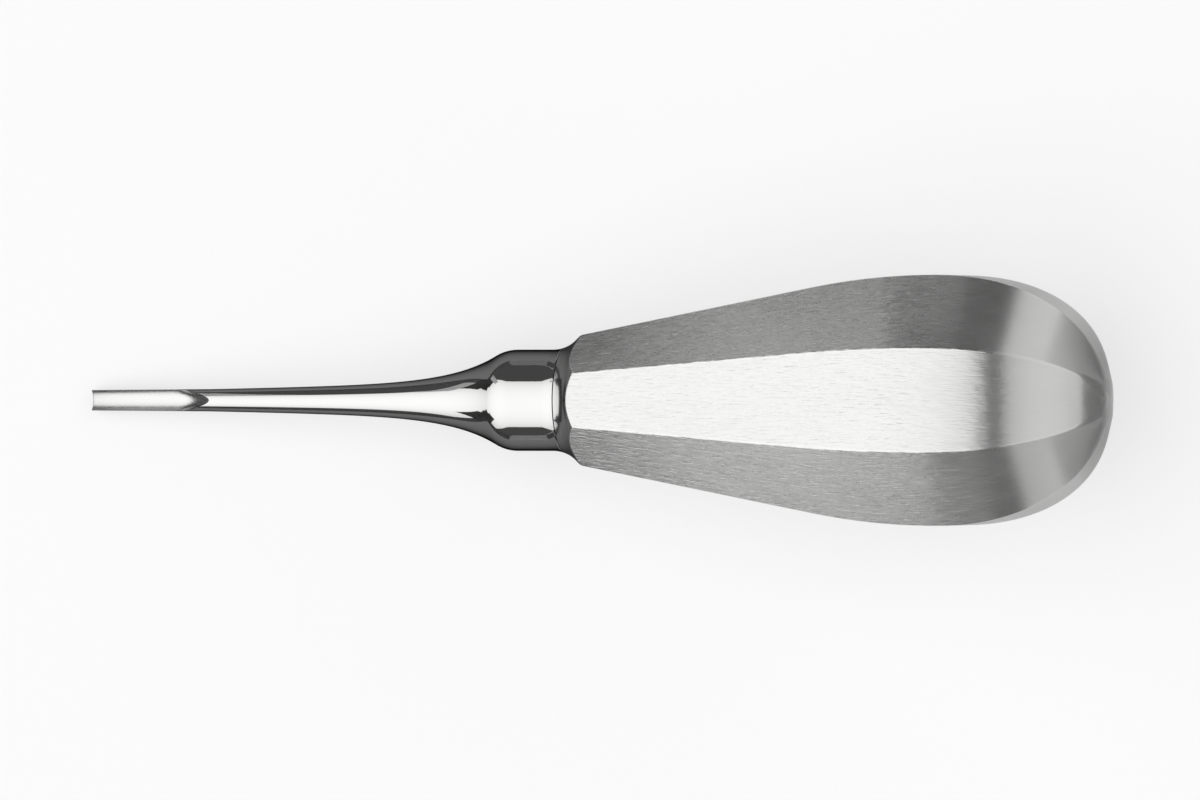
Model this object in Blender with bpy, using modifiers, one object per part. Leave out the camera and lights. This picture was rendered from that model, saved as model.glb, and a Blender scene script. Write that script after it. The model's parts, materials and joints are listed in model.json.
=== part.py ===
# A dental root elevator, lying on a table with its blade's hollow side up.
# The working end (gouge blade, flared shank, collar and tang) is one turned and ground
# forging. Its tang sits in the nose of a hollow handle with eight flats.
# Both pieces are built along their common axis, with the blade's tip at z = 0, the butt
# at the top and the hollow side of the blade towards -X, and are then laid down.

import math

import bmesh
import bpy
from mathutils import Matrix, Vector

MM = 0.001

# Handle, measured along the axis from the blade's tip
TOOL_LENGTH = 155.5 * MM
HANDLE_FRONT = 72.9 * MM
WIDEST_AT = 131.0 * MM
WIDEST_ACROSS_FLATS = 36.9 * MM
CROWN_RADIUS = 99.0 * MM
DOME_POWER = 2.18
FACETS = 8
EDGE_RADIUS = 0.4 * MM
WALL = 1.2 * MM
NOSE_STEP = 1.5 * MM
NOSE_RING_DEPTH = 8.0 * MM
NOSE_FILLET_RADIUS = 5.8 * MM
NOSE_CONE_ANGLE = math.radians(44.0)

# Collar, shank and tang
COLLAR_RADIUS = 7.5 * MM
COLLAR_LENGTH = 5.3 * MM
COLLAR_FLARE = 2.0 * MM
COLLAR_ROUNDING = 6.2 * MM
FLARE_ANGLE = math.radians(30.5)
SHANK_BACK_RADIUS = 2.6 * MM
TANG_RADIUS = 5.0 * MM
TANG_PROUD = 2.0 * MM
TANG_CHAMFER = 0.6 * MM
FIT_GAP = 0.3 * MM

# Blade
BLADE_LENGTH = 18.5 * MM
TIP_RADIUS = 1.52 * MM
BLADE_BACK_RADIUS = 1.65 * MM
CHANNEL_RADIUS = 1.9 * MM
CHANNEL_FLOOR_HEIGHT = -0.35 * MM
RUN_OUT_LENGTH = 5.2 * MM
RUN_OUT_END_RADIUS = 0.55 * MM
RUN_OUT_OVERSHOOT = 0.2
END_BEVEL_ANGLE = math.radians(25.0)

# Fineness of the curved surfaces
ROUND_STEPS = 64
FILLET_STEPS = 10
FLARE_STEPS = 24
CROWN_STEPS = 10
DOME_STEPS = 26
CUTTER_SIDES = 32
CUT_MARGIN = 2.0 * MM
MERGE_DISTANCE = 0.000001
SHARP_ANGLE = math.radians(25.0)
EASED_EDGE_ANGLE = math.radians(30.0)


def clear_scene():
    for obj in list(bpy.data.objects):
        bpy.data.objects.remove(obj, do_unlink=True)


def make_collection(name):
    collection = bpy.data.collections.new(name)
    bpy.context.scene.collection.children.link(collection)
    return collection


def steel(name, colour, roughness):
    material = bpy.data.materials.new(name)
    material.use_nodes = True
    shader = material.node_tree.nodes["Principled BSDF"]
    shader.inputs["Base Color"].default_value = (*colour, 1.0)
    shader.inputs["Metallic"].default_value = 1.0
    shader.inputs["Roughness"].default_value = roughness
    return material


def new_mesh_object(name, bm, collection):
    mesh = bpy.data.meshes.new(name)
    bm.to_mesh(mesh)
    bm.free()
    obj = bpy.data.objects.new(name, mesh)
    collection.objects.link(obj)
    return obj


def turned(name, profile, steps, collection):
    """A profile of (radius, height) points, top to bottom, turned about Z."""
    bm = bmesh.new()
    points = [bm.verts.new((radius, 0.0, height)) for radius, height in profile]
    for upper, lower in zip(points, points[1:]):
        bm.edges.new((upper, lower))
    obj = new_mesh_object(name, bm, collection)
    screw = obj.modifiers.new("Turn", "SCREW")
    screw.axis = "Z"
    screw.steps = steps
    screw.render_steps = steps
    screw.use_merge_vertices = True
    screw.merge_threshold = MERGE_DISTANCE
    return obj


def boolean(target, cutter, operation):
    modifier = target.modifiers.new(cutter.name, "BOOLEAN")
    modifier.operation = operation
    modifier.solver = "EXACT"
    modifier.object = cutter


def hide_cutter(cutter):
    cutter.hide_render = True
    cutter.display_type = "WIRE"


def steps_between(start, end, count):
    return [start + (end - start) * i / count for i in range(count + 1)]


# Forms of the handle, given by its apothem, half the distance across two opposite flats


def nose_apothem():
    """The flats, carried on to the front of the handle, stand a step above the collar."""
    return COLLAR_RADIUS + NOSE_STEP


def handle_taper_angle():
    """Slope of the straight flats: the line from the nose that is tangent to the crown's arc."""
    run = WIDEST_AT - HANDLE_FRONT
    rise = WIDEST_ACROSS_FLATS / 2 - nose_apothem() - CROWN_RADIUS
    return math.atan2(rise, run) + math.asin(CROWN_RADIUS / math.hypot(run, rise))


def taper_apothem(height):
    return nose_apothem() + math.tan(handle_taper_angle()) * (height - HANDLE_FRONT)


def handle_flat_profile():
    """(apothem, height) points down the middle of a flat, from the butt to the nose."""
    apothem = WIDEST_ACROSS_FLATS / 2
    dome_length = TOOL_LENGTH - WIDEST_AT
    dome = []
    for share in steps_between(1.0, 0.0, DOME_STEPS):
        angle = share * math.pi / 2
        radius = apothem * math.cos(angle) ** (2 / DOME_POWER)
        height = WIDEST_AT + dome_length * math.sin(angle) ** (2 / DOME_POWER)
        dome.append((radius, height))
    dome[0] = (0.0, TOOL_LENGTH)
    crown = []
    for angle in steps_between(0.0, handle_taper_angle(), CROWN_STEPS)[1:]:
        radius = apothem - CROWN_RADIUS * (1 - math.cos(angle))
        crown.append((radius, WIDEST_AT - CROWN_RADIUS * math.sin(angle)))
    front = HANDLE_FRONT - CUT_MARGIN
    return dome + crown + [(taper_apothem(front), front)]


def offset_inwards(profile, distance):
    """The profile moved inwards, at right angles to itself."""
    moved = []
    for before, point, after in zip(profile, profile[1:], profile[2:]):
        run = Vector((after[0] - before[0], after[1] - before[1])).normalized()
        moved.append((point[0] + run.y * distance, point[1] - run.x * distance))
    return moved


def cavity_profile():
    """(apothem, height) points of the hollow, which stops at the ring in the nose."""
    floor = HANDLE_FRONT + NOSE_RING_DEPTH
    pole = TOOL_LENGTH - WALL
    wall = offset_inwards(handle_flat_profile(), WALL)
    wall = [point for point in wall if point[0] > 0 and floor < point[1] < pole]
    slope_offset = WALL / math.cos(handle_taper_angle())
    return [(0.0, pole)] + wall + [(taper_apothem(floor) - slope_offset, floor), (0.0, floor)]


def to_corners(profile):
    """The same profile measured at the corners of the octagon."""
    stretch = 1 / math.cos(math.pi / FACETS)
    return [(radius * stretch, height) for radius, height in profile]


def fillet_point(angle):
    """(radius, height) on the fillet that starts on the collar and runs up the nose."""
    radius = COLLAR_RADIUS + NOSE_FILLET_RADIUS * (1 - math.cos(angle))
    return radius, HANDLE_FRONT - COLLAR_FLARE + NOSE_FILLET_RADIUS * math.sin(angle)


def nose_profile():
    """A turned body around the whole handle, whose front is the nose's fillet and cone."""
    outside = WIDEST_ACROSS_FLATS
    top = TOOL_LENGTH + CUT_MARGIN
    seam_angle = math.asin(COLLAR_FLARE / NOSE_FILLET_RADIUS)
    angles = steps_between(NOSE_CONE_ANGLE, seam_angle, FILLET_STEPS)
    fillet = [fillet_point(angle) for angle in angles]
    cone_radius, cone_height = fillet[0]
    rim = cone_height + (outside - cone_radius) / math.tan(NOSE_CONE_ANGLE)
    return [(0.0, top), (outside, top), (outside, rim)] + fillet + [(0.0, HANDLE_FRONT)]


def make_handle(collection, cutters):
    # The eight flats meet in the middle of the butt, like the ribs of a dome.
    body = handle_flat_profile()
    handle = turned("handle", to_corners(body + [(0.0, body[-1][1])]), FACETS, collection)
    handle.rotation_euler.z = math.pi / FACETS
    rounding = handle.modifiers.new("Eased edges", "BEVEL")
    rounding.limit_method = "ANGLE"
    rounding.angle_limit = EASED_EDGE_ANGLE
    rounding.width = EDGE_RADIUS * math.tan(math.pi / FACETS)
    rounding.segments = 2

    nose = turned("nose_form", nose_profile(), ROUND_STEPS, cutters)
    cavity = turned("cavity", to_corners(cavity_profile()), FACETS, cutters)
    cavity.rotation_euler.z = handle.rotation_euler.z
    bore_radius = TANG_RADIUS + FIT_GAP
    bore_top = HANDLE_FRONT + NOSE_RING_DEPTH + CUT_MARGIN
    bore_foot = HANDLE_FRONT - CUT_MARGIN
    bore_profile = [(0.0, bore_top), (bore_radius, bore_top), (bore_radius, bore_foot), (0.0, bore_foot)]
    bore = turned("tang_bore", bore_profile, ROUND_STEPS, cutters)
    boolean(handle, nose, "INTERSECT")
    boolean(handle, cavity, "DIFFERENCE")
    boolean(handle, bore, "DIFFERENCE")
    for cutter in (nose, cavity, bore):
        hide_cutter(cutter)
    handle.data.materials.append(steel("satin steel", (0.62, 0.62, 0.61), 0.32))
    return handle


# Forms of the working end


def shank_taper(height):
    """Radius of the slender part: the blade, then a slow taper towards the collar."""
    if height < BLADE_LENGTH:
        return TIP_RADIUS + (BLADE_BACK_RADIUS - TIP_RADIUS) * height / BLADE_LENGTH
    share = (height - BLADE_LENGTH) / (collar_front() - BLADE_LENGTH)
    return BLADE_BACK_RADIUS + (SHANK_BACK_RADIUS - BLADE_BACK_RADIUS) * share


def collar_back():
    return HANDLE_FRONT - FIT_GAP


def collar_front():
    return HANDLE_FRONT - COLLAR_FLARE - COLLAR_LENGTH


def flare_end():
    """(radius, height) where the flare runs into the collar's rounded shoulder."""
    radius = COLLAR_RADIUS - COLLAR_ROUNDING * (1 - math.cos(FLARE_ANGLE))
    return radius, collar_front() - COLLAR_ROUNDING * math.sin(FLARE_ANGLE)


def shank_radius(height):
    """The slow taper plus an exponential flare that is tangent to the collar's rounding."""
    end_radius, end_height = flare_end()
    taper_slope = (SHANK_BACK_RADIUS - BLADE_BACK_RADIUS) / (collar_front() - BLADE_LENGTH)
    depth = end_radius - shank_taper(end_height)
    reach = depth / (math.tan(FLARE_ANGLE) - taper_slope)
    return shank_taper(height) + depth * math.exp((height - end_height) / reach)


def working_end_profile():
    tang_top = HANDLE_FRONT + NOSE_RING_DEPTH + TANG_PROUD
    tang = [
        (0.0, tang_top),
        (TANG_RADIUS - TANG_CHAMFER, tang_top),
        (TANG_RADIUS, tang_top - TANG_CHAMFER),
        (TANG_RADIUS, collar_back()),
    ]
    seam_angle = math.asin((COLLAR_FLARE - FIT_GAP) / NOSE_FILLET_RADIUS)
    collar = [fillet_point(angle) for angle in steps_between(seam_angle, 0.0, FILLET_STEPS)]
    for angle in steps_between(0.0, FLARE_ANGLE, FILLET_STEPS):
        radius = COLLAR_RADIUS - COLLAR_ROUNDING * (1 - math.cos(angle))
        collar.append((radius, collar_front() - COLLAR_ROUNDING * math.sin(angle)))
    heights = steps_between(flare_end()[1], BLADE_LENGTH, FLARE_STEPS)[1:]
    shank = [(shank_radius(height), height) for height in heights]
    return tang + collar + shank + [(TIP_RADIUS, 0.0), (0.0, 0.0)]


def run_out_radius():
    """Radius of the arc on which the channel's floor rises to the top of the shank."""
    rise = shank_radius(BLADE_LENGTH) - CHANNEL_FLOOR_HEIGHT
    return (RUN_OUT_LENGTH**2 + rise**2) / (2 * rise)


def channel_path():
    """(height above the axis, place along it, radius) of the round that cuts the channel."""
    arc_radius = run_out_radius()
    arc_start = BLADE_LENGTH - RUN_OUT_LENGTH
    path = [(CHANNEL_FLOOR_HEIGHT + CHANNEL_RADIUS, -CUT_MARGIN, CHANNEL_RADIUS)]
    end_angle = math.asin(RUN_OUT_LENGTH / arc_radius)
    for share in steps_between(0.0, 1.0 + RUN_OUT_OVERSHOOT, FILLET_STEPS):
        angle = share * end_angle
        radius = CHANNEL_RADIUS + (RUN_OUT_END_RADIUS - CHANNEL_RADIUS) * share
        floor = CHANNEL_FLOOR_HEIGHT + arc_radius * (1 - math.cos(angle))
        rise = floor + radius * math.cos(angle)
        path.append((rise, arc_start + (arc_radius - radius) * math.sin(angle), radius))
    return path


def make_channel_cutter(collection):
    curve = bpy.data.curves.new("channel_route", "CURVE")
    curve.dimensions = "3D"
    curve.bevel_depth = CHANNEL_RADIUS
    curve.bevel_resolution = (CUTTER_SIDES - 4) // 2
    curve.use_fill_caps = True
    path = channel_path()
    spline = curve.splines.new("POLY")
    spline.points.add(len(path) - 1)
    for point, (rise, along, radius) in zip(spline.points, path):
        point.co = (-rise, 0.0, along, 1.0)
        point.radius = radius / CHANNEL_RADIUS
    route = bpy.data.objects.new("channel_route", curve)
    collection.objects.link(route)
    bpy.context.view_layer.update()
    evaluated = route.evaluated_get(bpy.context.evaluated_depsgraph_get())
    mesh = bpy.data.meshes.new_from_object(evaluated)
    bm = bmesh.new()
    bm.from_mesh(mesh)
    bmesh.ops.remove_doubles(bm, verts=bm.verts, dist=MERGE_DISTANCE)
    bm.to_mesh(mesh)
    bm.free()
    cutter = bpy.data.objects.new("channel", mesh)
    cutter.matrix_world = route.matrix_world
    collection.objects.link(cutter)
    bpy.data.objects.remove(route, do_unlink=True)
    return cutter


def lip_height():
    """Height of the channel's lips above the axis, where its round leaves the blade at the tip."""
    centre = CHANNEL_FLOOR_HEIGHT + CHANNEL_RADIUS
    return (TIP_RADIUS**2 - CHANNEL_RADIUS**2 + centre**2) / (2 * centre)


def end_bevel_foot():
    """(radius, height) on the blade's back where the end's bevel starts."""
    return TIP_RADIUS, math.tan(END_BEVEL_ANGLE) * (lip_height() + TIP_RADIUS)


def make_end_bevel_cutter(collection):
    """A block whose face leans back from the lips, so that the end is sharpened from behind."""
    size = BLADE_LENGTH / 2
    bm = bmesh.new()
    bmesh.ops.create_cube(bm, size=size)
    cutter = new_mesh_object("end_bevel", bm, collection)
    outward = Vector((math.sin(END_BEVEL_ANGLE), 0.0, -math.cos(END_BEVEL_ANGLE)))
    cutter.rotation_euler.y = -END_BEVEL_ANGLE
    cutter.location = Vector((-lip_height(), 0.0, 0.0)) + outward * size / 2
    return cutter


def make_working_end(collection, cutters):
    working_end = turned("working_end", working_end_profile(), ROUND_STEPS, collection)
    channel = make_channel_cutter(cutters)
    end_bevel = make_end_bevel_cutter(cutters)
    for cutter in (channel, end_bevel):
        boolean(working_end, cutter, "DIFFERENCE")
        hide_cutter(cutter)
    working_end.data.materials.append(steel("polished steel", (0.66, 0.66, 0.65), 0.1))
    return working_end


def rest_tilt():
    """Slope of the axis when the blade's back and the lowest flat both touch the table."""
    foot_radius, foot_height = end_bevel_foot()
    return max(
        math.atan((apothem - foot_radius) / (height - foot_height))
        for apothem, height in handle_flat_profile()
    )


def world_corners(objects):
    graph = bpy.context.evaluated_depsgraph_get()
    points = []
    for obj in objects:
        evaluated = obj.evaluated_get(graph)
        mesh = evaluated.to_mesh()
        points += [evaluated.matrix_world @ vertex.co for vertex in mesh.vertices]
        evaluated.to_mesh_clear()
    low = Vector(min(point[i] for point in points) for i in range(3))
    high = Vector(max(point[i] for point in points) for i in range(3))
    return low, high


def lay_down(objects, cutters, collection):
    """Turns the tool onto its side and stands it on z = 0, centred on the origin."""
    frame = bpy.data.objects.new("elevator_frame", None)
    collection.objects.link(frame)
    for obj in list(objects) + list(cutters.objects):
        obj.parent = frame
    frame.rotation_euler.y = math.pi / 2 - rest_tilt()
    bpy.context.view_layer.update()
    low, high = world_corners(objects)
    frame.location = Vector((-(low.x + high.x) / 2, -(low.y + high.y) / 2, -low.z))
    bpy.context.view_layer.update()


def smooth_round_surfaces(objects):
    for obj in objects:
        obj.data.shade_smooth()
        obj.data.set_sharp_from_angle(angle=SHARP_ANGLE)


def main():
    clear_scene()
    parts = make_collection("root_elevator")
    cutters = make_collection("cutters")
    cutters.hide_render = True
    working_end = make_working_end(parts, cutters)
    handle = make_handle(parts, cutters)
    lay_down([working_end, handle], cutters, parts)
    smooth_round_surfaces([working_end, handle])


main()
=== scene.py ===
# Dental root elevator: a mirror-polished working end in a vaulted, eight-sided satin handle.
# All lengths in the dictionaries are millimetres and all angles are degrees.
import json
import math

import bmesh
import bpy
from mathutils import Matrix, Vector


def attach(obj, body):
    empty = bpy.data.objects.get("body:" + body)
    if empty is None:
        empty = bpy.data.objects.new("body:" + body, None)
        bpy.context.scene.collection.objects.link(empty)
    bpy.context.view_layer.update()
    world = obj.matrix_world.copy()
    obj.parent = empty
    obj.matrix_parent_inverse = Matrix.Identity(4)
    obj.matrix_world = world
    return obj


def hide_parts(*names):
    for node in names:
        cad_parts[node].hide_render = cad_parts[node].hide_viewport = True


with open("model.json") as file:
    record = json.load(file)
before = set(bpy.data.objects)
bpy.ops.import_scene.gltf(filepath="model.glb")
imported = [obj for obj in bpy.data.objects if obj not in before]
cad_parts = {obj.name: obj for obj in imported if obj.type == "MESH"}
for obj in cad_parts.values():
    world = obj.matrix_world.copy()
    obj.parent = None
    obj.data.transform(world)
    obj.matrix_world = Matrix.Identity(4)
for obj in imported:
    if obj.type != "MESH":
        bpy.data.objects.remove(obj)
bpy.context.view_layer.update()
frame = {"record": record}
mm = 0.001
searchSteps = 50  # halvings when the place where two forms meet is looked for


def rad(degrees):
    return math.radians(degrees)


def spread(start, end, count):
    return [start + (end - start) * i / count for i in range(count + 1)]


def lastPlace(holds, low, high):
    # the last place between low and high where the test still holds
    for _ in range(searchSteps):
        middle = (low + high) / 2
        low, high = (middle, high) if holds(middle) else (low, middle)
    return low


# The tool's own frame comes from the two rest faces of its record: z runs from the tip to the butt,
# and the hollow side of the blade faces local -x.
mountHeight = 92.0  # where along the tool both rest faces were measured


def toolMatrix():
    faces = {mount["name"]: Vector(mount["pos_m"]) for mount in frame["record"]["mounts"]}
    upper, lower = faces["upper_flat"], faces["lower_flat"]
    up = (upper - lower).normalized()
    axis = Vector((up.z, 0.0, -up.x))
    origin = (upper + lower) / 2 - axis * mountHeight * mm
    turn = Matrix((-up, axis.cross(-up), axis)).transposed()
    return Matrix.Translation(origin) @ turn.to_4x4()


toolPlace = toolMatrix()
toolAxis = bpy.data.objects.new("toolAxis", None)  # an empty that carries the finishes' coordinates
toolAxis.matrix_world = toolPlace
bpy.context.scene.collection.objects.link(toolAxis)
print("stage: frame loaded, tool axis taken from the two rest faces")


sharpAbove = 35.0  # an edge that bends more than this stays sharp


def finishMesh(bm, name):
    bmesh.ops.recalc_face_normals(bm, faces=bm.faces)
    bm.transform(toolPlace)
    mesh = bpy.data.meshes.new(name)
    bm.to_mesh(mesh)
    bm.free()
    mesh.shade_smooth()
    mesh.set_sharp_from_angle(angle=rad(sharpAbove))
    obj = bpy.data.objects.new(name, mesh)
    bpy.context.scene.collection.objects.link(obj)
    normals = obj.modifiers.new("evenShading", "WEIGHTED_NORMAL")
    normals.keep_sharp = True
    return obj


# The working end is one turned steel: a blade with its gouge flute, shank, flare, collar and tang.
workingEnd = {
    "blade": {
        "length": 18.5,
        "tipRadius": 1.52,
        "backRadius": 1.65,
        "fluteRadius": 2.4,
        "fluteFloor": -0.2,
        "widestLip": 162.0,  # the search for a lip ends at this turn round the flute
        "runOutLength": 5.2,
        "runOutEndRadius": 0.55,
        "endLean": 14.0,
        "leanFades": 6.0,
        "straightRings": 16,
        "runOutRings": 30,
        "fluteColumns": 28,
        "lipRounding": 0.05,
        "lipFade": 1.2,  # how fast the lips' rounding shrinks along the run-out
        "lipLeast": 0.1,  # the share of it that stays
        "lipRoom": 0.4,  # the most of a face beside the lip that its rounding takes
        "lipSteps": 4,
        "tipRounding": 0.04,
        "tipRoom": 0.3,  # the most of the crescent's width that the tip's rounding takes
        "tipSteps": 2,
        "supportRing": 0.08,  # how far towards the next ring it lies
    },
    "shank": {
        "backRadius": 2.6,
        "flareAngle": 30.5,
        "rings": 60,
        "columns": 112,
    },
    "collar": {
        "radius": 7.5,
        "front": 65.6,
        "back": 70.9,
        "rounding": 6.2,
        "roundingRings": 12,
        "straightRings": 6,
        "filletRadius": 5.8,
        "filletRings": 8,
        "seam": 72.9,
        "seamGap": 0.15,
        "edgeRounding": 0.07,
        "edgeSteps": 3,
        "tangRadius": 5.0,
        "tangTop": 82.9,
        "tangChamfer": 0.6,
        "boreGap": 0.3,
        "boreTop": 83.6,
    },
}
blade, shank, collar = workingEnd["blade"], workingEnd["shank"], workingEnd["collar"]


def taperRadius(z):
    if z < blade["length"]:
        return blade["tipRadius"] + (blade["backRadius"] - blade["tipRadius"]) * z / blade["length"]
    share = (z - blade["length"]) / (collar["front"] - blade["length"])
    return blade["backRadius"] + (shank["backRadius"] - blade["backRadius"]) * share


def shoulderPoint(angle):
    # (radius, z) on the round between the flare and the collar
    radius = collar["radius"] - collar["rounding"] * (1 - math.cos(angle))
    return radius, collar["front"] - collar["rounding"] * math.sin(angle)


def filletPoint(angle):
    # (radius, z) on the hollow round behind the collar, which the handle's nose carries on
    radius = collar["radius"] + collar["filletRadius"] * (1 - math.cos(angle))
    return radius, collar["back"] + collar["filletRadius"] * math.sin(angle)


def shankRadius(z):
    # the slow taper of the shank, with a flare that grows towards the collar
    endRadius, endZ = shoulderPoint(rad(shank["flareAngle"]))
    slope = (shank["backRadius"] - blade["backRadius"]) / (collar["front"] - blade["length"])
    depth = endRadius - taperRadius(endZ)
    reach = depth / (math.tan(rad(shank["flareAngle"])) - slope)
    return taperRadius(z) + depth * math.exp((z - endZ) / reach)


def flutePoint(share, turn):
    # (height, side, along) on the round that cuts the flute; share is below 0 on the straight part
    riseFull = shankRadius(blade["length"]) - blade["fluteFloor"]
    arc = (blade["runOutLength"] ** 2 + riseFull**2) / (2 * riseFull)
    start = blade["length"] - blade["runOutLength"]
    if share <= 0:
        lean, radius, along = 0.0, blade["fluteRadius"], start * (1 + share)
    else:
        lean = share * math.asin(blade["runOutLength"] / arc)
        radius = blade["fluteRadius"] + (blade["runOutEndRadius"] - blade["fluteRadius"]) * share
        along = start
    floor = blade["fluteFloor"] + arc * (1 - math.cos(lean))
    height = floor + radius * math.cos(lean) * (1 - math.cos(turn))
    along += arc * math.sin(lean) - radius * math.sin(lean) * (1 - math.cos(turn))
    return height, radius * math.sin(turn), along


def lipTurn(share):
    # the angle round the flute at which it leaves the blade's own round
    def inside(turn):
        height, side, along = flutePoint(share, turn)
        return math.hypot(height, side) < shankRadius(along)

    return lastPlace(inside, 0.0, rad(blade["widestLip"]))


def leanAt(height, along, lipHeight):
    # moves a point along the blade so that the tip ends in a plane which leans back below the lips
    fade = max(0.0, 1 - along / blade["leanFades"])
    return along + fade * math.tan(rad(blade["endLean"])) * (lipHeight - height)


def roundedCorner(before, corner, after, reach, count):
    # points of a small curve that replaces a corner
    corner, before, after = Vector(corner), Vector(before), Vector(after)
    start = corner + (before - corner).normalized() * reach
    end = corner + (after - corner).normalized() * reach
    points = []
    for t in spread(0, 1, count):
        points.append(start * (1 - t) ** 2 + corner * 2 * t * (1 - t) + end * t**2)
    return points


def turnedRings():
    # (radius, z) from just behind the flute to the end of the tang
    shoulder, front, back = rad(shank["flareAngle"]), collar["front"], collar["back"]
    flareEnd = shoulderPoint(shoulder)[1]
    rings = [(shankRadius(z), z) for z in spread(blade["length"], flareEnd, shank["rings"])[1:]]
    rings += [shoulderPoint(angle) for angle in spread(shoulder, 0.0, collar["roundingRings"])[1:]]
    rings += [(collar["radius"], z) for z in spread(front, back, collar["straightRings"])[1:]]
    seamAngle = math.asin((collar["seam"] - collar["seamGap"] - back) / collar["filletRadius"])
    rings += [filletPoint(angle) for angle in spread(0.0, seamAngle, collar["filletRings"])[1:-1]]
    edge = filletPoint(seamAngle)
    foot = (collar["tangRadius"], edge[1])
    rings += roundedCorner(rings[-1], edge, foot, collar["edgeRounding"], collar["edgeSteps"])
    radius, top, chamfer = collar["tangRadius"], collar["tangTop"], collar["tangChamfer"]
    rings += [foot, (radius, top - chamfer), (radius - chamfer, top)]
    return rings


def ringOf(bm, radius, z, count):
    ring = []
    for i in range(count):
        angle = 2 * math.pi * i / count
        place = (-radius * math.cos(angle) * mm, radius * math.sin(angle) * mm, z * mm)
        ring.append(bm.verts.new(place))
    return ring


def bridge(bm, one, two):
    # faces between two closed rings, with three corners where a ring repeats a vertex
    faces = []
    for i in range(len(one)):
        j = (i + 1) % len(one)
        corners = []
        for vert in (one[i], one[j], two[j], two[i]):
            if vert not in corners:
                corners.append(vert)
        if len(corners) > 2:
            faces.append(bm.faces.new(corners))
    return faces


def bladeSection(share, tipLip):
    # one closed section of the blade as (height, side, along): round the back, then over the flute
    turn = lipTurn(share)
    lipHeight, lipSide, lipAlong = flutePoint(share, turn)
    radius, opening = shankRadius(lipAlong), math.atan2(lipSide, lipHeight)
    outer, flute = [], []
    for angle in spread(opening, 2 * math.pi - opening, shank["columns"]):
        height = radius * math.cos(angle)
        outer.append(Vector((height, radius * math.sin(angle), leanAt(height, lipAlong, tipLip))))
    for angle in spread(-turn, turn, blade["fluteColumns"]):
        height, side, along = flutePoint(share, angle)
        flute.append(Vector((height, side, leanAt(height, along, tipLip) if share <= 0 else along)))
    # the lips are eased, less and less along the run-out
    reach = blade["lipRounding"] * min(1.0, max(blade["lipLeast"], 1 - share * blade["lipFade"]))
    for chain in (flute, outer):
        reach = min(reach, blade["lipRoom"] * (chain[1] - chain[0]).length)
    lipOne = roundedCorner(outer[-2], outer[-1], flute[1], reach, blade["lipSteps"])
    lipTwo = roundedCorner(flute[-2], flute[-1], outer[1], reach, blade["lipSteps"])
    return outer[1:-1] + lipOne + flute[1:-1] + lipTwo


def tipSections(section, firstLip, secondLip):
    # the tip's edge is eased in steps, each point moving towards the one across the crescent
    count, ease = len(section), blade["tipRounding"]
    backChain = [i % count for i in range(secondLip, count + firstLip + 1)]
    fluteChain = list(range(secondLip, firstLip - 1, -1))
    rings = []
    for angle in spread(0.0, rad(90.0), blade["tipSteps"]):
        ring = [None] * count
        forward = Vector((0.0, 0.0, ease * (1 - math.sin(angle))))
        for chain, other in ((backChain, fluteChain), (fluteChain, backChain)):
            for i, index in enumerate(chain):
                place = i * (len(other) - 1) / (len(chain) - 1)
                low = min(int(place), len(other) - 2)
                across = section[other[low]].lerp(section[other[low + 1]], place - low)
                gap = across - section[index]
                inset = min(ease, gap.length * blade["tipRoom"]) * (1 - math.cos(angle))
                ring[index] = section[index] + gap.normalized() * inset + forward
        rings.append(ring)
    return rings, backChain, fluteChain


def closeCrescent(bm, chainOne, chainTwo):
    # triangles between two chains of vertices that share both of their ends
    i, j = 0, 0
    while i < len(chainOne) - 1 or j < len(chainTwo) - 1:
        nextOne = (i + 1) / (len(chainOne) - 1)
        nextTwo = (j + 1) / (len(chainTwo) - 1)
        corners = [chainOne[i], chainTwo[j]]
        if nextOne <= nextTwo:
            i += 1
            corners.append(chainOne[i])
        else:
            j += 1
            corners.append(chainTwo[j])
        if len(set(corners)) == 3:
            bm.faces.new(corners)


def makeWorkingEnd():
    bm = bmesh.new()
    columns, fluteColumns, steps = shank["columns"], blade["fluteColumns"], blade["lipSteps"]
    tipLip = flutePoint(-1.0, lipTurn(-1.0))[0]
    shares = spread(-1.0, 0.0, blade["straightRings"])
    shares += [1 - (1 - t) ** 2 for t in spread(0.0, 1.0, blade["runOutRings"])[1:-1]]
    sections = [bladeSection(share, tipLip) for share in shares]
    firstLip = columns - 1 + steps // 2
    secondLip = firstLip + steps + fluteColumns
    tipRings, backChain, fluteChain = tipSections(sections[0], firstLip, secondLip)
    # a ring close behind the eased edge keeps the flute's shading straight up to the tip
    behindEdge = [a.lerp(b, blade["supportRing"]) for a, b in zip(tipRings[0], sections[1])]
    rings = []
    for section in tipRings[::-1] + [behindEdge] + sections[1:]:
        rings.append([bm.verts.new((-p.x * mm, p.y * mm, p.z * mm)) for p in section])
    # where the flute has run out, its columns and lips come together in one vertex
    exitRing = ringOf(bm, shankRadius(blade["length"]), blade["length"], columns)
    closing = len(rings[0]) - (columns - 1)
    rings.append(exitRing[1:] + [exitRing[0]] * closing)
    for one, two in zip(rings, rings[1:]):
        bridge(bm, one, two)
    flute = {exitRing[0]}
    for ring in rings[:-1]:
        flute.update(ring[firstLip : secondLip + 1])
    for face in bm.faces:
        face.material_index = 1 if flute.issuperset(face.verts) else 0
    closeCrescent(bm, [rings[0][i] for i in backChain], [rings[0][i] for i in fluteChain])
    previous = exitRing
    for radius, z in turnedRings():
        ring = ringOf(bm, radius, z, columns)
        bridge(bm, previous, ring)
        previous = ring
    bm.faces.new(previous)
    return finishMesh(bm, "workingEnd")


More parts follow.
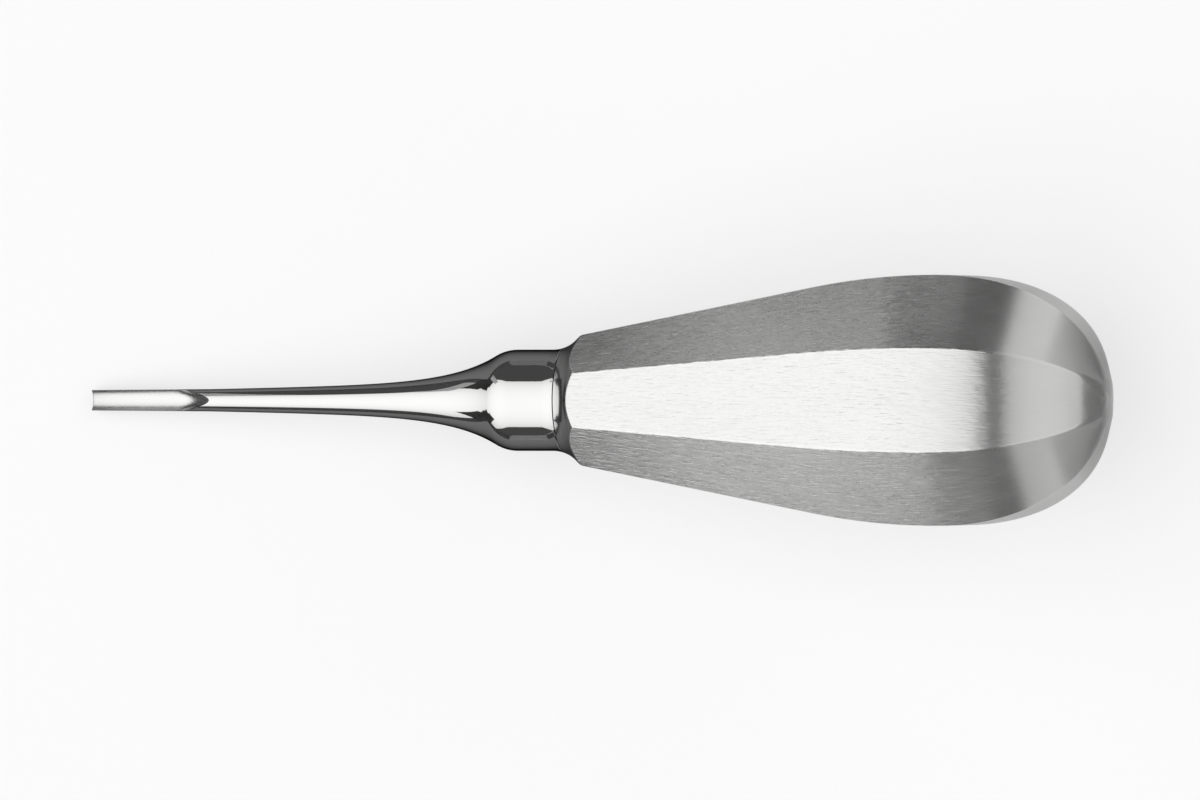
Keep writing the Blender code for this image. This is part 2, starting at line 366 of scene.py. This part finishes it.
# The handle has eight flats that vault to the butt, and it is cut to a turned nose in front.
handle = {
    "front": 72.9,
    "widestAt": 131.0,
    "acrossFlats": 36.9,
    "butt": 155.5,
    "crownRadius": 99.0,
    "domePower": 2.18,
    "noseApothem": 9.0,
    "noseConeAngle": 44.0,
    "noseSearch": 8.0,  # every flat begins within this length behind the front
    "noseEdge": 0.22,
    "noseEdgeInFront": 0.72,  # the edge's reach in front of the corner, as a share
    "noseEdgeSteps": 4,
    "frontEdge": (0.08, 0.03),  # inwards and forwards
    "creaseRadius": 0.4,
    "poleCreaseRadius": 3.0,
    "creaseFadesFrom": 151.0,
    "creaseRoom": 0.9,  # a crease takes no more of the section than this
    "flatColumns": 8,
    "flatShoulder": 0.97,
    "creaseColumns": 6,
    "noseRings": 16,
    "taperRings": 14,
    "crownRings": 14,
    "domeRings": 46,
    "facets": 8,
    "brushingUnit": 100.0,  # the length of one UV unit
    "brushingStrip": 60.0,  # from one flat to the next in the UV map
    "fanStep": 0.2,  # the brushing on the last triangles, across and along
    "fanReach": 1.5,
}


def taperAngle():
    run = handle["widestAt"] - handle["front"]
    rise = handle["acrossFlats"] / 2 - handle["noseApothem"] - handle["crownRadius"]
    return math.atan2(rise, run) + math.asin(handle["crownRadius"] / math.hypot(run, rise))


def taperApothem(z):
    return handle["noseApothem"] + math.tan(taperAngle()) * (z - handle["front"])


def vaultProfile():
    # (apothem, z) from the end of the straight flats to the butt
    crown, half, widest = handle["crownRadius"], handle["acrossFlats"] / 2, handle["widestAt"]
    points = []
    for angle in spread(taperAngle(), 0.0, handle["crownRings"]):
        points.append((half - crown * (1 - math.cos(angle)), widest - crown * math.sin(angle)))
    power, rise = 2 / handle["domePower"], handle["butt"] - widest
    for share in spread(0.0, 1.0, handle["domeRings"])[1:-1]:
        angle = share * math.pi / 2
        points.append((half * math.cos(angle) ** power, widest + rise * math.sin(angle) ** power))
    return points


def creaseRadiusAt(z, apothem):
    small, large = handle["creaseRadius"], handle["poleCreaseRadius"]
    start = handle["creaseFadesFrom"]
    fade = min(1.0, max(0.0, (z - start) / (handle["butt"] - start)))
    return min(small + (large - small) * fade**2, apothem * handle["creaseRoom"])


def sectionPoint(apothem, crease, facet, kind, share):
    # (x, y, acrossTheFlat): kind "flat" runs from -1 to 1, kind "crease" from 0 to 1
    step = 2 * math.pi / handle["facets"]
    normal = facet * step
    half = (apothem - crease) * math.tan(step / 2)
    if kind == "flat":
        side = half * share
        x = apothem * math.cos(normal) - side * math.sin(normal)
        y = apothem * math.sin(normal) + side * math.cos(normal)
        return x, y, side
    reach = (apothem - crease) / math.cos(step / 2)
    middle, angle = normal + step / 2, normal + step * share
    x = reach * math.cos(middle) + crease * math.cos(angle)
    y = reach * math.sin(middle) + crease * math.sin(angle)
    across = half + crease * step * share if share <= 0.5 else -half - crease * step * (1 - share)
    return x, y, across


def sectionColumns():
    # the narrow strip along each crease takes up its bend, so that the flat itself is shaded flat
    shoulder, columns = handle["flatShoulder"], []
    flatShares = [-1.0] + spread(-shoulder, shoulder, handle["flatColumns"]) + [1.0]
    creaseShares = spread(0.0, 1.0, handle["creaseColumns"])[1:-1]
    for facet in range(handle["facets"]):
        columns += [(facet, "flat", share) for share in flatShares]
        columns += [(facet, "crease", share) for share in creaseShares]
    return columns


def noseRadius(z):
    angle = rad(handle["noseConeAngle"])
    endRadius, endZ = filletPoint(angle)
    if z > endZ:
        return endRadius + (z - endZ) * math.tan(angle)
    return filletPoint(math.asin((z - collar["back"]) / collar["filletRadius"]))[0]


def noseMeets(column):
    # where along the tool this column's flat leaves the turned nose
    def outside(z):
        apothem = taperApothem(z)
        x, y, _across = sectionPoint(apothem, creaseRadiusAt(z, apothem), *column)
        return math.hypot(x, y) > noseRadius(z)

    return lastPlace(outside, handle["front"], handle["front"] + handle["noseSearch"])


def handleColumn(column, vault):
    # one column's points from the nose's front edge to the last dome ring, and each one's place
    # across its flat
    meets = noseMeets(column)
    apothem = taperApothem(meets)
    x, y, across = sectionPoint(apothem, creaseRadiusAt(meets, apothem), *column)
    turn = math.atan2(y, x)
    edge = handle["noseEdge"]
    nose = []
    for z in spread(handle["front"], meets - edge * handle["noseEdgeInFront"], handle["noseRings"]):
        nose.append(Vector((noseRadius(z) * math.cos(turn), noseRadius(z) * math.sin(turn), z)))
    behind = spread(meets + edge, vault[0][1], handle["taperRings"])[:-1]
    flats = [(taperApothem(z), z) for z in behind]
    body, sides = [], []
    for apothem, z in flats + vault:
        px, py, side = sectionPoint(apothem, creaseRadiusAt(z, apothem), *column)
        body.append(Vector((px, py, z)))
        sides.append(side)
    corner = Vector((x, y, meets))
    eased = []
    for t in spread(0, 1, handle["noseEdgeSteps"])[1:-1]:
        eased.append(nose[-1] * (1 - t) ** 2 + corner * 2 * t * (1 - t) + body[0] * t**2)
    points = nose + eased + body
    acrosses = [across] * (len(nose) + len(eased)) + sides
    return points, acrosses


def brushingPlace(across, along, facet):
    # the UV place of a point on a flat, which has its own strip of the map
    unit = handle["brushingUnit"]
    return (across + handle["brushingStrip"] * facet) / unit, along / unit


def skinFlats(bm, columns, grid, noseRows, brushing):
    for i, (facet, kind, share) in enumerate(columns):
        here, there = grid[i], grid[(i + 1) % len(columns)]
        pastCrease = kind == "crease" and share >= 0.5
        owner = (facet + 1) % handle["facets"] if pastCrease else facet
        for row in range(len(here[0]) - 1):
            corners = ((here, row), (there, row), (there, row + 1), (here, row + 1))
            face = bm.faces.new([column[0][at] for column, at in corners])
            face.material_index = 1 if row < noseRows else 0
            for loop, (column, at) in zip(face.loops, corners):
                across = column[1][at]
                # the corners of a face on a crease are all measured across the same flat
                if pastCrease:
                    across = -abs(across)
                elif kind == "crease" or share == 1.0:
                    across = abs(across)
                loop[brushing].uv = brushingPlace(across, column[2][at], owner)


def closeButt(bm, columns, grid, brushing):
    # a fan of triangles round the pole
    pole = bm.verts.new((0.0, 0.0, handle["butt"] * mm))
    for i, (facet, _kind, _share) in enumerate(columns):
        verts, acrosses, alongs = grid[i]
        face = bm.faces.new((verts[-1], grid[(i + 1) % len(columns)][0][-1], pole))
        across, along = acrosses[-1], alongs[-1]
        places = [(across, along), (across + handle["fanStep"], along)]
        places.append((0.0, along + handle["fanReach"]))
        for loop, place in zip(face.loops, places):
            loop[brushing].uv = brushingPlace(*place, facet)


def closeFront(bm, front):
    # the front face, the bore for the tang and the bore's end close the shell
    bore = collar["tangRadius"] + collar["boreGap"]
    inset, proud = handle["frontEdge"]
    profile = [(noseRadius(handle["front"]) - inset, handle["front"] - proud)]
    profile += [(bore, handle["front"]), (bore, collar["boreTop"])]
    previous = front
    for radius, z in profile:
        ring = []
        for vert in front:
            turn = math.atan2(vert.co.y, vert.co.x)
            place = (radius * math.cos(turn) * mm, radius * math.sin(turn) * mm, z * mm)
            ring.append(bm.verts.new(place))
        for face in bridge(bm, previous, ring):
            face.material_index = 1
        previous = ring
    bm.faces.new(previous).material_index = 1


def makeHandle():
    bm = bmesh.new()
    brushing = bm.loops.layers.uv.new("brushing")
    creaseWear = bm.verts.layers.float.new("creaseWear")
    vault, columns = vaultProfile(), sectionColumns()
    noseRows = handle["noseRings"] + handle["noseEdgeSteps"] // 2
    grid = []
    for column in columns:
        points, acrosses = handleColumn(column, vault)
        onCrease = column[1] == "crease" or abs(column[2]) == 1.0
        verts, alongs = [], [0.0]
        for row, point in enumerate(points):
            vert = bm.verts.new(point * mm)
            vert[creaseWear] = 1.0 if onCrease and row > noseRows else 0.0
            verts.append(vert)
        for one, two in zip(points, points[1:]):
            alongs.append(alongs[-1] + (two - one).length)
        # the brushing starts level on every column, behind the scalloped edge
        shift = points[noseRows + 1].z / math.cos(taperAngle()) - alongs[noseRows + 1]
        grid.append((verts, acrosses, [along + shift for along in alongs]))
    skinFlats(bm, columns, grid, noseRows, brushing)
    closeButt(bm, columns, grid, brushing)
    closeFront(bm, [verts[0] for verts, _acrosses, _alongs in grid])
    return finishMesh(bm, "handleShell")


workingEndPiece = makeWorkingEnd()
handlePiece = makeHandle()
print("stage: working end and handle lofted")


# The finishes. A grain is how many noise cells fit in a metre along x, y and z of the tool's frame,
# or in 100 mm across and along a flat for the satin steel.
satinSteel = {
    "colour": (0.6, 0.6, 0.595),
    "colourInStreaks": (0.58, 0.58, 0.575),
    "colourOnCreases": (0.63, 0.63, 0.625),
    "creaseShare": 0.5,
    "edgeTint": (0.65, 0.65, 0.65),
    "roughness": 0.28,
    "streakRoughness": 0.035,
    "patchRoughness": 0.015,
    "creaseShine": 0.05,
    "domeRoughness": 0.06,
    "anisotropy": 0.82,
    "fineGrain": (520.0, 50.0, 1.0),
    "fineShare": 0.45,
    "strokeGrain": (260.0, 30.0, 1.0),
    "strokeShare": 0.55,
    "patchGrain": (24.0, 7.0, 1.0),
    "streakDepth": 0.16,
    "streaksFadeFrom": 129.0,
    "streaksFadeTo": 147.0,
    "streaksLeft": 0.15,
}

polishedSteel = {
    "colour": (0.59, 0.59, 0.585),
    "edgeTint": (0.0, 0.0, 0.0),
    "roughness": (0.03, 0.065),
    "hazeGrain": (300.0, 300.0, 90.0),
    "waveGrain": (420.0, 420.0, 130.0),
    "waveDepth": 0.0072,
    "hairGrain": (5200.0, 5200.0, 160.0),
    "hairDepth": 0.000144,
}

groundFlute = {
    "colour": (0.62, 0.62, 0.615),
    "colourInScratches": (0.58, 0.58, 0.575),
    "edgeTint": (0.3, 0.3, 0.3),
    "roughness": (0.22, 0.28),
    "scratchGrain": (7000.0, 7000.0, 420.0),
    "scratchDepth": 0.0008,
}

turnedSteel = {
    "colour": (0.58, 0.58, 0.575),
    "colourInRings": (0.48, 0.48, 0.475),
    "edgeTint": (0.2, 0.2, 0.2),
    "roughness": 0.13,
    "anisotropy": 0.5,
    "anisotropyTurn": 0.25,  # a quarter of a full turn
    "ringGrain": (60.0, 60.0, 5200.0),
    "ringDepth": 0.0012,
}

# how far on either side of its middle a noise is taken, from gentle to crisp
gentle, medium, crisp = 0.2, 0.15, 0.1


class Wiring:
    # a material's node tree, with short calls for the nodes used below

    def __init__(self, name):
        self.material = bpy.data.materials.new(name)
        self.material.use_nodes = True
        self.tree = self.material.node_tree
        self.shader = self.tree.nodes["Principled BSDF"]

    def feed(self, node, socket, source):
        if hasattr(source, "is_output"):
            self.tree.links.new(source, node.inputs[socket])
        else:
            node.inputs[socket].default_value = source

    def to(self, socket, source):
        self.feed(self.shader, socket, source)

    def node(self, kind, links=(), **values):
        made = self.tree.nodes.new(kind)
        for name, value in values.items():
            setattr(made, name, value)
        for socket, source in links:
            self.feed(made, socket, source)
        return made

    def surface(self, shader):
        self.feed(self.tree.nodes["Material Output"], "Surface", shader.outputs[0])

    def alongTool(self):
        return self.node("ShaderNodeTexCoord", object=toolAxis).outputs["Object"]

    def noise(self, source, grain, detail, roughness=0.5):
        place = self.node("ShaderNodeMapping", [("Vector", source), ("Scale", grain)]).outputs["Vector"]
        links = [("Vector", place), ("Detail", detail), ("Roughness", roughness), ("Scale", 1.0)]
        return self.node("ShaderNodeTexNoise", links).outputs["Fac"]

    def remap(self, source, lowIn, highIn, lowOut, highOut):
        links = [("Value", source), ("From Min", lowIn), ("From Max", highIn)]
        links += [("To Min", lowOut), ("To Max", highOut)]
        return self.node("ShaderNodeMapRange", links).outputs["Result"]

    def swing(self, noise, reach, low=0.0, high=1.0):
        # spreads the middle of a noise over a range
        return self.remap(noise, 0.5 - reach, 0.5 + reach, low, high)

    def maths(self, operation, one, two):
        return self.node("ShaderNodeMath", [(0, one), (1, two)], operation=operation).outputs[0]

    def blend(self, factor, one, two):
        ends = [end if hasattr(end, "is_output") else (*end, 1.0) for end in (one, two)]
        links = [(0, factor), (6, ends[0]), (7, ends[1])]
        return self.node("ShaderNodeMix", links, data_type="RGBA").outputs[2]

    def bump(self, height, depth, strength=1.0, under=None):
        links = [("Height", height), ("Distance", depth * mm), ("Strength", strength)]
        if under:
            links.append(("Normal", under))
        return self.node("ShaderNodeBump", links).outputs["Normal"]

    def metal(self, colour, edgeTint, roughness, normal):
        self.to("Base Color", colour)
        self.to("Metallic", 1.0)
        self.to("Specular Tint", (*edgeTint, 1.0))
        self.to("Roughness", roughness)
        self.to("Normal", normal)

    def brushed(self, anisotropy):
        tangent = self.node("ShaderNodeTangent", direction_type="UV_MAP", uv_map="brushing")
        self.to("Anisotropic", anisotropy)
        self.to("Tangent", tangent.outputs[0])


def makeSatin():
    satin, look = satinSteel, Wiring("satinSteel")
    uv = look.node("ShaderNodeUVMap", uv_map="brushing").outputs["UV"]
    # hair-fine scratches, short strokes and slow patches, all along the flats
    fine = look.noise(uv, satin["fineGrain"], 2.0)
    strokes = look.noise(uv, satin["strokeGrain"], 2.0, 0.55)
    patches = look.noise(uv, satin["patchGrain"], 2.0)
    fine = look.maths("MULTIPLY", fine, satin["fineShare"])
    strokes = look.maths("MULTIPLY", strokes, satin["strokeShare"])
    streaks = look.maths("ADD", fine, strokes)
    # over the dome the strokes fade and the reflections grow softer
    height = look.node("ShaderNodeSeparateXYZ", [("Vector", look.alongTool())]).outputs["Z"]
    dome = (satin["streaksFadeFrom"] * mm, satin["streaksFadeTo"] * mm)
    kept = look.remap(height, *dome, 1.0, satin["streaksLeft"])
    softer = look.remap(height, *dome, 0.0, satin["domeRoughness"])
    wear = look.node("ShaderNodeAttribute", attribute_name="creaseWear").outputs["Fac"]
    colour = look.blend(look.swing(streaks, medium), satin["colourInStreaks"], satin["colour"])
    onCrease = look.maths("MULTIPLY", wear, satin["creaseShare"])
    colour = look.blend(onCrease, colour, satin["colourOnCreases"])
    strokeSwing = look.swing(streaks, crisp, -satin["streakRoughness"], satin["streakRoughness"])
    patchSwing = look.swing(patches, gentle, -satin["patchRoughness"], satin["patchRoughness"])
    rough = look.maths("ADD", look.maths("MULTIPLY", strokeSwing, kept), satin["roughness"])
    rough = look.maths("ADD", rough, patchSwing)
    rough = look.maths("SUBTRACT", rough, look.maths("MULTIPLY", wear, satin["creaseShine"]))
    rough = look.maths("ADD", rough, softer)
    look.metal(colour, satin["edgeTint"], rough, look.bump(streaks, satin["streakDepth"], kept))
    look.brushed(satin["anisotropy"])
    return look.material


def makePolished():
    polished, look = polishedSteel, Wiring("polishedSteel")
    place = look.alongTool()
    # slow waves left by the polishing wheel, and hairlines along the tool
    waves = look.noise(place, polished["waveGrain"], 1.0)
    hairs = look.noise(place, polished["hairGrain"], 2.0, 0.6)
    haze = look.noise(place, polished["hazeGrain"], 3.0)
    rough = look.swing(haze, gentle, *polished["roughness"])
    slow = look.bump(waves, polished["waveDepth"])
    normal = look.bump(hairs, polished["hairDepth"], under=slow)
    look.metal((*polished["colour"], 1.0), polished["edgeTint"], rough, normal)
    return look.material


def makeGround():
    ground, look = groundFlute, Wiring("groundFluteSteel")
    # the wheel that cut the flute leaves short lines along it
    lines = look.noise(look.alongTool(), ground["scratchGrain"], 3.0, 0.6)
    colour = look.blend(look.swing(lines, medium), ground["colourInScratches"], ground["colour"])
    rough = look.swing(lines, medium, *ground["roughness"])
    look.metal(colour, ground["edgeTint"], rough, look.bump(lines, ground["scratchDepth"]))
    return look.material


def makeTurned():
    turned, look = turnedSteel, Wiring("turnedNoseSteel")
    # turning lines run round the nose
    rings = look.noise(look.alongTool(), turned["ringGrain"], 3.0, 0.6)
    colour = look.blend(look.swing(rings, medium), turned["colourInRings"], turned["colour"])
    normal = look.bump(rings, turned["ringDepth"])
    look.metal(colour, turned["edgeTint"], turned["roughness"], normal)
    look.brushed(turned["anisotropy"])
    look.to("Anisotropic Rotation", turned["anisotropyTurn"])
    return look.material


handlePiece.data.materials.append(makeSatin())
handlePiece.data.materials.append(makeTurned())
workingEndPiece.data.materials.append(makePolished())
workingEndPiece.data.materials.append(makeGround())
for piece, node, slotName in (
    (workingEndPiece, "working_end", "polished_steel"),
    (handlePiece, "handle", "satin_steel"),
):
    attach(piece, "root")
    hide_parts(node)
print("stage: finishes on, both solids replaced")


# The studio: a pale floor, soft panels overhead, and cards that only the steel sees.
studio = {
    "floorSize": 8000.0,
    "floorColour": (0.93, 0.93, 0.93),
    "paperGrain": (900.0, 900.0, 900.0),
    "grainTone": 0.99,
    "paperRoughness": 0.9,
    "paperShine": 0.1,
    "whiteShare": 0.6,
    "worldLevel": 0.09,
}

# leanX and leanY turn a panel from straight overhead towards +x and +y; spans are the angles it fills
panels = {
    "mainPanel": {
        "leanX": -40.0,
        "leanY": -11.5,
        "spanX": 97.0,
        "spanY": 102.0,
        "far": 2400.0,
        "level": 1.67,
        "edgeFall": 0.3,
    },
    "buttPanel": {
        "leanX": 55.6,
        "leanY": 0.0,
        "spanX": 68.8,
        "spanY": 64.0,
        "far": 2400.0,
        "level": 1.09,
        "edgeFall": 0.2,
    },
    "wingBack": {
        "leanX": 69.6,
        "leanY": 71.4,
        "spanX": 50.0,
        "spanY": 56.0,
        "far": 2500.0,
        "level": 0.98,
        "edgeFall": 0.2,
    },
    "wingFront": {
        "leanX": 69.6,
        "leanY": -71.4,
        "spanX": 50.0,
        "spanY": 56.0,
        "far": 2500.0,
        "level": 0.54,
        "edgeFall": 0.2,
    },
}

# upright cards round the edges of the picture, from dark to pale, for the steel to reflect
flags = {
    "flagBackFar": {"from": (-172.0, 62.0), "to": (-104.0, 62.0), "height": 46.0, "colour": 0.06},
    "flagBackTip": {"from": (-104.0, 62.0), "to": (-28.0, 62.0), "height": 16.0, "colour": 0.1},
    "flagBackMiddle": {"from": (-28.0, 62.0), "to": (3.0, 62.0), "height": 16.0, "colour": 0.26},
    "flagBackButt": {"from": (3.0, 62.0), "to": (30.0, 62.0), "height": 16.0, "colour": 0.1},
    "softPostBack": {"from": (30.0, 62.0), "to": (53.0, 62.0), "height": 44.0, "colour": 0.32},
    "postBack": {"from": (53.0, 62.0), "to": (78.0, 62.0), "height": 60.0, "colour": 0.15},
    "flagFrontFar": {"from": (-172.0, -62.0), "to": (-96.0, -62.0), "height": 46.0, "colour": 0.06},
    "flagFrontTip": {"from": (-96.0, -62.0), "to": (-28.0, -62.0), "height": 16.0, "colour": 0.1},
    "flagFrontMiddle": {"from": (-28.0, -62.0), "to": (3.0, -62.0), "height": 16.0, "colour": 0.38},
    "flagFrontButt": {"from": (3.0, -62.0), "to": (42.0, -62.0), "height": 13.0, "colour": 0.1},
    "softPostFront": {"from": (42.0, -62.0), "to": (64.0, -62.0), "height": 44.0, "colour": 0.36},
    "postFront": {"from": (64.0, -62.0), "to": (82.0, -62.0), "height": 60.0, "colour": 0.215},
    "flagButt": {"from": (92.0, -35.0), "to": (92.0, 38.0), "height": 28.0, "colour": 0.34},
    # this one stands above flagBackTip and lights the lip of the blade
    "cardBackLip": {
        "from": (-104.0, 62.0),
        "to": (-80.0, 62.0),
        "foot": 16.0,
        "height": 62.0,
        "colour": 0.6,
    },
    "flagTip": {"from": (-91.0, -40.0), "to": (-91.0, 40.0), "height": 24.0, "colour": 0.05},
}

# a grey card that lies round the polished end, for its rims
tableCard = {"from": (-172.0, -62.0), "to": (-5.0, 62.0), "height": 0.4, "colour": 0.25}

cardCorners = ((-1, -1), (1, -1), (1, 1), (-1, 1))


def stageCard(name, corners, material):
    bm = bmesh.new()
    uv = bm.loops.layers.uv.new("card")
    face = bm.faces.new([bm.verts.new(corner) for corner in corners])
    for loop, place in zip(face.loops, cardCorners):
        loop[uv].uv = place
    mesh = bpy.data.meshes.new(name)
    bm.to_mesh(mesh)
    bm.free()
    card = bpy.data.objects.new(name, mesh)
    bpy.context.scene.collection.objects.link(card)
    card.data.materials.append(material)
    return card


def makePanel(name, panel):
    leans = (math.tan(rad(panel["leanX"])), math.tan(rad(panel["leanY"])))
    towards = Vector((*leans, 1.0)).normalized()
    across = Vector((0.0, 1.0, 0.0)).cross(towards).normalized()
    along = towards.cross(across)
    far = panel["far"] * mm
    halfX = far * math.tan(rad(panel["spanX"] / 2))
    halfY = far * math.tan(rad(panel["spanY"] / 2))
    corners = [towards * far + across * x * halfX + along * y * halfY for x, y in cardCorners]
    look = Wiring(name)
    uv = look.node("ShaderNodeUVMap", uv_map="card").outputs["UV"]
    fromMiddle = look.node("ShaderNodeVectorMath", [(0, uv), (1, uv)], operation="DOT_PRODUCT")
    edgeLevel = panel["level"] * (1 - panel["edgeFall"])
    level = look.remap(fromMiddle.outputs["Value"], 0.0, 1.0, panel["level"], edgeLevel)
    look.surface(look.node("ShaderNodeEmission", [("Strength", level)]))
    card = stageCard(name, corners, look.material)
    card.visible_camera = False
    card.visible_shadow = False


def makeFlag(name, colour, corners):
    look = Wiring(name)
    look.to("Base Color", (colour, colour, colour, 1.0))
    look.to("Roughness", 1.0)
    look.to("Specular IOR Level", 0.0)
    card = stageCard(name, [Vector(corner) * mm for corner in corners], look.material)
    card.visible_camera = False
    card.visible_diffuse = False
    card.visible_shadow = False


def makeFlags():
    for name, flag in flags.items():
        start, end = flag["from"], flag["to"]
        low, high = flag.get("foot", 0.0), flag["height"]
        corners = ((*start, low), (*end, low), (*end, high), (*start, high))
        makeFlag(name, flag["colour"], corners)
    (x0, y0), (x1, y1), z = tableCard["from"], tableCard["to"], tableCard["height"]
    corners = ((x0, y0, z), (x1, y0, z), (x1, y1, z), (x0, y1, z))
    makeFlag("tableCard", tableCard["colour"], corners)


def makeFloor():
    look = Wiring("palePaper")
    place = look.node("ShaderNodeTexCoord").outputs["Object"]
    grain = look.noise(place, studio["paperGrain"], 2.0)
    darker = [level * studio["grainTone"] for level in studio["floorColour"]]
    look.to("Base Color", look.blend(grain, darker, studio["floorColour"]))
    look.to("Roughness", studio["paperRoughness"])
    look.to("Specular IOR Level", studio["paperShine"])
    # seen by the camera or in the steel, a share of the paper is plain white,
    # and the rest keeps the shadow
    rays = look.node("ShaderNodeLightPath").outputs
    seen = look.maths("MAXIMUM", rays["Is Camera Ray"], rays["Is Glossy Ray"])
    white = look.node("ShaderNodeEmission", [("Strength", 1.0)]).outputs[0]
    share = look.maths("MULTIPLY", seen, studio["whiteShare"])
    paper = look.shader.outputs[0]
    look.surface(look.node("ShaderNodeMixShader", [(0, share), (1, paper), (2, white)]))
    half = studio["floorSize"] / 2 * mm
    stageCard("paleFloor", [(x * half, y * half, 0.0) for x, y in cardCorners], look.material)


def makeWorld():
    world = bpy.data.worlds.new("quietStudio")
    world.use_nodes = True
    background = world.node_tree.nodes["Background"]
    background.inputs["Color"].default_value = (1.0, 1.0, 1.0, 1.0)
    background.inputs["Strength"].default_value = studio["worldLevel"]
    bpy.context.scene.world = world


camera = {
    "fromVertical": 6.69,
    "far": 3000.0,
    "frameWidth": 178.2,
    "sideShift": -1.13,
    "upShift": 0.04,
    "sensor": 36.0,
    "clip": (100.0, 20000.0),
}


def makeCamera():
    angle = rad(camera["fromVertical"])
    towards = Vector((math.sin(angle), 0.0, math.cos(angle)))
    right = Vector((math.cos(angle), 0.0, -math.sin(angle)))
    up = Vector((0.0, 1.0, 0.0))
    data = bpy.data.cameras.new("photoCamera")
    data.sensor_width = camera["sensor"]
    data.lens = camera["sensor"] * camera["far"] / camera["frameWidth"]
    data.clip_start, data.clip_end = [distance * mm for distance in camera["clip"]]
    obj = bpy.data.objects.new("photoCamera", data)
    centre = right * camera["sideShift"] * mm + up * camera["upShift"] * mm
    turn = Matrix((right, up, towards)).transposed()
    obj.matrix_world = Matrix.Translation(centre + towards * camera["far"] * mm) @ turn.to_4x4()
    bpy.context.scene.collection.objects.link(obj)
    bpy.context.scene.camera = obj


for panelName, panelValues in panels.items():
    makePanel(panelName, panelValues)
makeFlags()
makeFloor()
makeWorld()
makeCamera()
bpy.context.scene.view_settings.view_transform = "Standard"
print("stage: studio ready")
